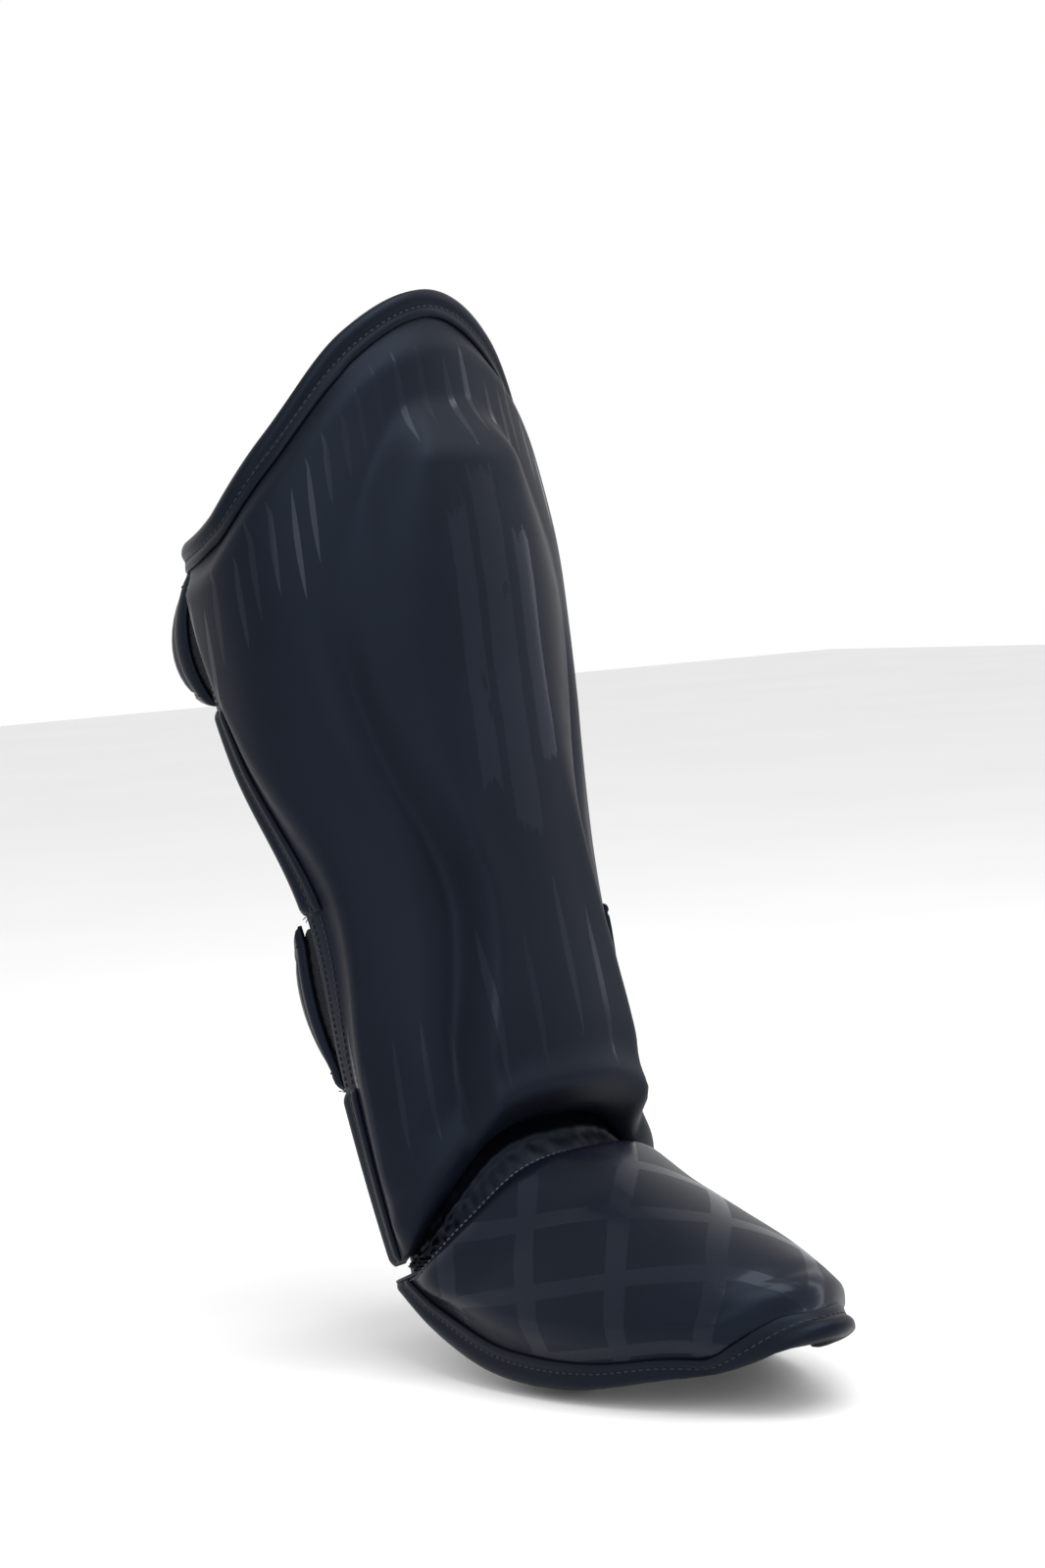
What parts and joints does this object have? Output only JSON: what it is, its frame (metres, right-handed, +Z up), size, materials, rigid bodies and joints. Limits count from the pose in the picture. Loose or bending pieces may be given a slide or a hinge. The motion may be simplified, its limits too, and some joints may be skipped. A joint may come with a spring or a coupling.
{
  "type": "muay thai shin guard",
  "caption": "Navy-black padded shin guard with a raised shin pad, wrapping wings, bound edges, elastic calf and ankle straps and a hinged instep pad.",
  "frame": {"origin": "where the inner face of the shin pad bears on the middle of the shin, half way up the pad's front", "axes": "+Z up the leg, -Y towards the toes, +X to the right seen from the front; the shin leans back 16 degrees"},
  "size_m": [0.1931, 0.3854, 0.4801],
  "materials": {
    "cover_leather": "glossy navy-black synthetic leather over foam",
    "binding_tape": "satin folded tape with a line of stitches",
    "elastic": "matt ribbed elastic",
    "hook_tape": "matt hook tape",
    "gusset_cloth": "soft black stretch cloth, a little shiny"
  },
  "bodies": {
    "root": {"ankle_closure": "hook_tape", "ankle_elastic_left": "elastic", "ankle_gusset": "gusset_cloth", "ankle_strap": "cover_leather", "calf_closure": "hook_tape", "calf_elastic_left": "elastic", "calf_strap": "cover_leather", "foot_binding": "binding_tape", "foot_pad": "cover_leather", "heel_binding_left": "binding_tape", "heel_binding_right": "binding_tape", "shin_pad": "cover_leather", "side_binding_left": "binding_tape", "side_binding_right": "binding_tape", "sole_strap": "elastic", "top_binding": "binding_tape"}
  },
  "joints": []
}
